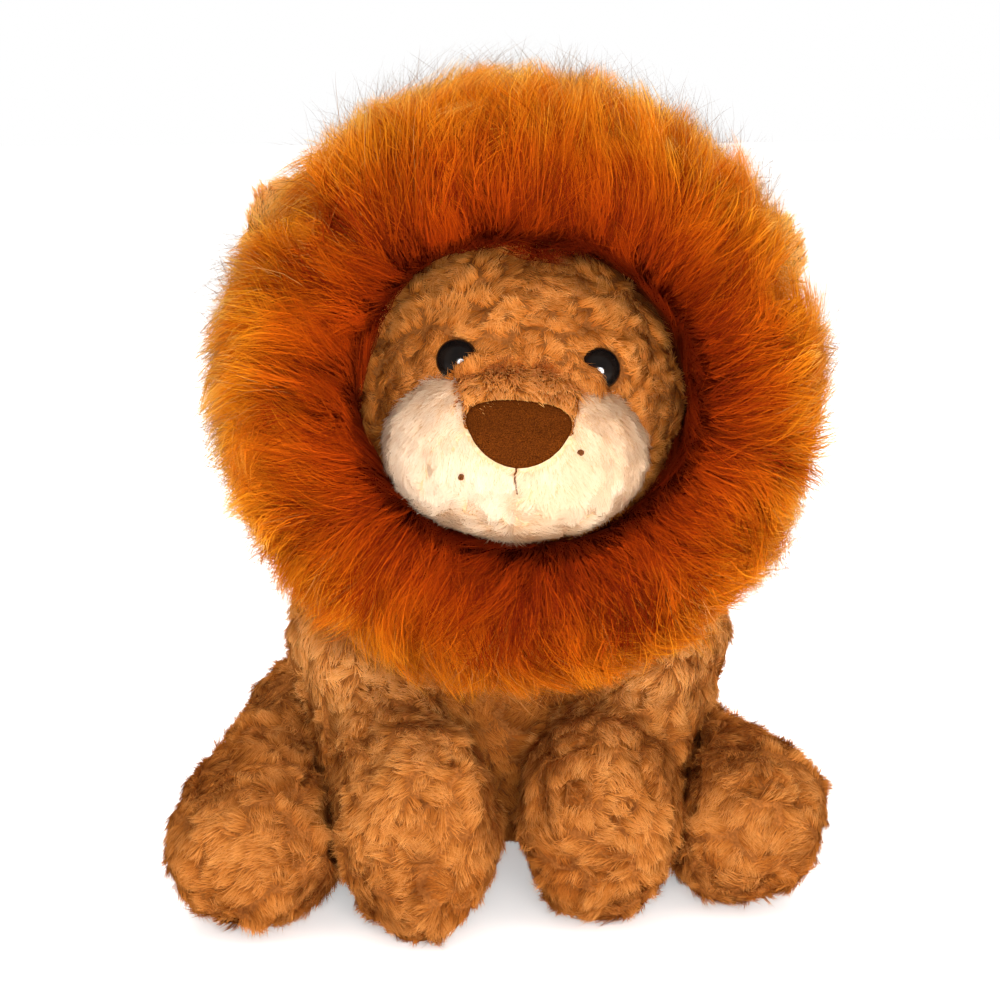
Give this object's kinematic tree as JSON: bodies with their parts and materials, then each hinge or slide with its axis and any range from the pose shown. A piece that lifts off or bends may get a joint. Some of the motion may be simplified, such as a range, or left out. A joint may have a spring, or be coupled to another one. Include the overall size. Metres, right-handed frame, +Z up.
{
  "type": "plush lion pillow",
  "caption": "Seated plush lion pillow with a round stuffed body, a ball head, a wide long-pile mane, thick sewn legs and a tufted tail.",
  "frame": {"origin": "middle of the small flat patch under the seat, on the surface that the lion sits on", "axes": "+Z up, the lion faces -Y, +X to the right of someone who looks at its face"},
  "size_m": [0.2342, 0.2154, 0.2919],
  "materials": {
    "caramel_plush": "short curly pile",
    "cream_plush": "short soft pile",
    "mane_pile": "long straight pile, rust at the root and gold at the tip",
    "mane_cloth": "woven backing",
    "brown_suede": "suede",
    "black_eye": "glossy dome",
    "washer": "moulded",
    "filling": "loose polyester fibre"
  },
  "bodies": {
    "torso": {"body_cover": "caramel_plush", "body_filling": "filling"},
    "head": {"head_cover": "caramel_plush", "head_filling": "filling", "muzzle_bridge": "caramel_plush", "muzzle_cheek_left": "cream_plush", "muzzle_cheek_right": "cream_plush", "muzzle_filling": "filling", "nose": "brown_suede", "eye_left": "black_eye", "eye_right": "black_eye", "eye_washer_left": "washer", "eye_washer_right": "washer", "mane_fur": "mane_pile", "mane_backing": "mane_cloth", "ear_left": "caramel_plush", "ear_right": "caramel_plush"},
    "front_leg_left": {"front_leg_left_cover": "caramel_plush", "front_leg_left_filling": "filling"},
    "front_leg_right": {"front_leg_right_cover": "caramel_plush", "front_leg_right_filling": "filling"},
    "hind_leg_left": {"hind_leg_left_cover": "caramel_plush", "hind_leg_left_filling": "filling"},
    "hind_leg_right": {"hind_leg_right_cover": "caramel_plush", "hind_leg_right_filling": "filling"},
    "tail": {"tail": "caramel_plush", "tail_tuft": "mane_pile"}
  },
  "joints": [
    {"name": "neck_turn", "type": "hinge", "parent": "torso", "child": "head", "pos_m": [0.0055, -0.05892, 0.176], "axis": [0, 0, 1], "range_deg": [-10, 10], "stiffness_Nm_per_rad": 0.6},
    {"name": "front_leg_left_lift", "type": "hinge", "parent": "torso", "child": "front_leg_left", "pos_m": [-0.052, -0.04392, 0.10148], "axis": [-1, 0, 0], "range_deg": [0, 10], "stiffness_Nm_per_rad": 0.6},
    {"name": "front_leg_right_lift", "type": "hinge", "parent": "torso", "child": "front_leg_right", "pos_m": [0.052, -0.04392, 0.10148], "axis": [-1, 0, 0], "range_deg": [0, 10], "stiffness_Nm_per_rad": 0.6},
    {"name": "hind_leg_left_splay", "type": "hinge", "parent": "torso", "child": "hind_leg_left", "pos_m": [-0.052, 0.00608, 0.034], "axis": [0, 0, -1], "range_deg": [0, 15], "stiffness_Nm_per_rad": 0.4},
    {"name": "hind_leg_right_splay", "type": "hinge", "parent": "torso", "child": "hind_leg_right", "pos_m": [0.052, 0.00608, 0.034], "axis": [0, 0, 1], "range_deg": [0, 15], "stiffness_Nm_per_rad": 0.4},
    {"name": "tail_swing", "type": "hinge", "parent": "torso", "child": "tail", "pos_m": [0.003, 0.04008, 0.007], "axis": [0, 0, 1], "range_deg": [0, 35], "stiffness_Nm_per_rad": 0.02}
  ]
}
